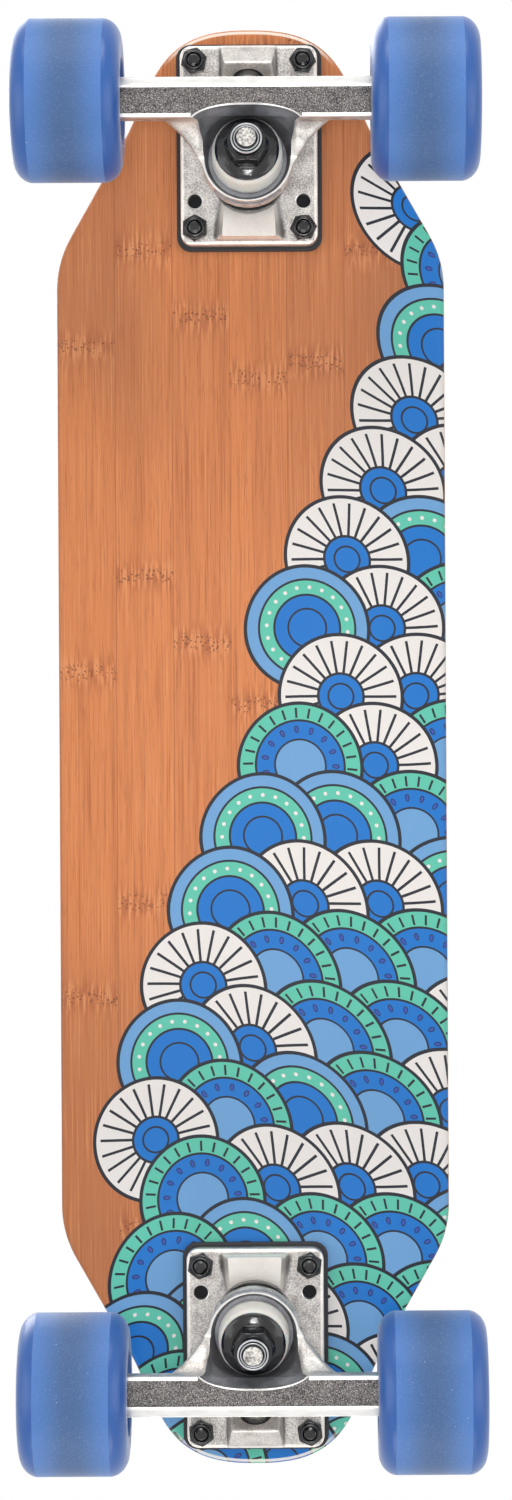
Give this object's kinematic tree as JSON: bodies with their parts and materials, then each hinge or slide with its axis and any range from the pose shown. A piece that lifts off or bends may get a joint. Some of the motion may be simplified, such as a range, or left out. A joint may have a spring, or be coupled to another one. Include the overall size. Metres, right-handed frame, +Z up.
{
  "type": "skateboard",
  "caption": "Short round-ended bamboo cruiser deck on sprung steering trucks with free-rolling translucent blue wheels and a black grip top.",
  "frame": {"origin": "middle of the board in plan, on the ground under the wheels", "axes": "+X to the board's right side, +Y towards the front nose, +Z up through the deck"},
  "size_m": [0.1724, 0.5498, 0.0951],
  "materials": {
    "bamboo": "satin lacquer",
    "grip_grit": "coarse grit",
    "pad_rubber": "matte",
    "cast_plate": "tumbled casting",
    "cast_hanger": "tumbled casting with ground faces",
    "cup_plastic": "matte",
    "black_steel": "glossy black oxide",
    "cream_urethane": "satin",
    "axle_steel": "bright",
    "wheel_urethane": "frosted translucent",
    "bearing_steel": "polished",
    "spacer_metal": "turned",
    "zinc_steel": "zinc plated"
  },
  "bodies": {
    "deck": {"deck": "bamboo", "grip_tape": "grip_grit", "front_riser_pad": "pad_rubber", "front_baseplate": "cast_plate", "front_pivot_cup": "cup_plastic", "front_kingpin": "axle_steel", "front_lower_washer": "black_steel", "front_lower_bushing": "cream_urethane", "front_upper_bushing": "cream_urethane", "front_upper_washer": "black_steel", "front_kingpin_nut": "black_steel", "front_left_outer_bolt": "black_steel", "front_left_outer_nut": "black_steel", "front_left_inner_bolt": "black_steel", "front_left_inner_nut": "black_steel", "front_right_outer_bolt": "black_steel", "front_right_outer_nut": "black_steel", "front_right_inner_bolt": "black_steel", "front_right_inner_nut": "black_steel", "rear_riser_pad": "pad_rubber", "rear_baseplate": "cast_plate", "rear_pivot_cup": "cup_plastic", "rear_kingpin": "axle_steel", "rear_lower_washer": "black_steel", "rear_lower_bushing": "cream_urethane", "rear_upper_bushing": "cream_urethane", "rear_upper_washer": "black_steel", "rear_kingpin_nut": "black_steel", "rear_left_outer_bolt": "black_steel", "rear_left_outer_nut": "black_steel", "rear_left_inner_bolt": "black_steel", "rear_left_inner_nut": "black_steel", "rear_right_outer_bolt": "black_steel", "rear_right_outer_nut": "black_steel", "rear_right_inner_bolt": "black_steel", "rear_right_inner_nut": "black_steel"},
    "front_left_wheel": {"front_left_wheel": "wheel_urethane", "front_left_inner_bearing": "bearing_steel", "front_left_outer_bearing": "bearing_steel"},
    "front_right_wheel": {"front_right_wheel": "wheel_urethane", "front_right_inner_bearing": "bearing_steel", "front_right_outer_bearing": "bearing_steel"},
    "front_hanger": {"front_hanger": "cast_hanger", "front_axle": "axle_steel", "front_left_spacer": "spacer_metal", "front_left_axle_nut": "zinc_steel", "front_right_spacer": "spacer_metal", "front_right_axle_nut": "zinc_steel"},
    "rear_left_wheel": {"rear_left_wheel": "wheel_urethane", "rear_left_inner_bearing": "bearing_steel", "rear_left_outer_bearing": "bearing_steel"},
    "rear_right_wheel": {"rear_right_wheel": "wheel_urethane", "rear_right_inner_bearing": "bearing_steel", "rear_right_outer_bearing": "bearing_steel"},
    "rear_hanger": {"rear_hanger": "cast_hanger", "rear_axle": "axle_steel", "rear_left_spacer": "spacer_metal", "rear_left_axle_nut": "zinc_steel", "rear_right_spacer": "spacer_metal", "rear_right_axle_nut": "zinc_steel"}
  },
  "joints": [
    {"name": "front_steer", "type": "hinge", "parent": "deck", "child": "front_hanger", "pos_m": [0, 0.21901, 0.0464], "axis": [0, -0.863, -0.5051], "range_deg": [-15, 15], "stiffness_Nm_per_rad": 15, "deforming": ["front_lower_bushing", "front_upper_bushing"]},
    {"name": "front_left_spin", "type": "hinge", "parent": "front_hanger", "child": "front_left_wheel", "pos_m": [-0.0661, 0.2391, 0.03], "axis": [1, 0, 0], "continuous": true},
    {"name": "front_right_spin", "type": "hinge", "parent": "front_hanger", "child": "front_right_wheel", "pos_m": [0.0661, 0.2391, 0.03], "axis": [1, 0, 0], "continuous": true},
    {"name": "rear_steer", "type": "hinge", "parent": "deck", "child": "rear_hanger", "pos_m": [0, -0.21901, 0.0464], "axis": [0, 0.863, -0.5051], "range_deg": [-15, 15], "stiffness_Nm_per_rad": 15, "deforming": ["rear_lower_bushing", "rear_upper_bushing"]},
    {"name": "rear_left_spin", "type": "hinge", "parent": "rear_hanger", "child": "rear_left_wheel", "pos_m": [-0.0661, -0.2391, 0.03], "axis": [1, 0, 0], "continuous": true},
    {"name": "rear_right_spin", "type": "hinge", "parent": "rear_hanger", "child": "rear_right_wheel", "pos_m": [0.0661, -0.2391, 0.03], "axis": [1, 0, 0], "continuous": true}
  ]
}
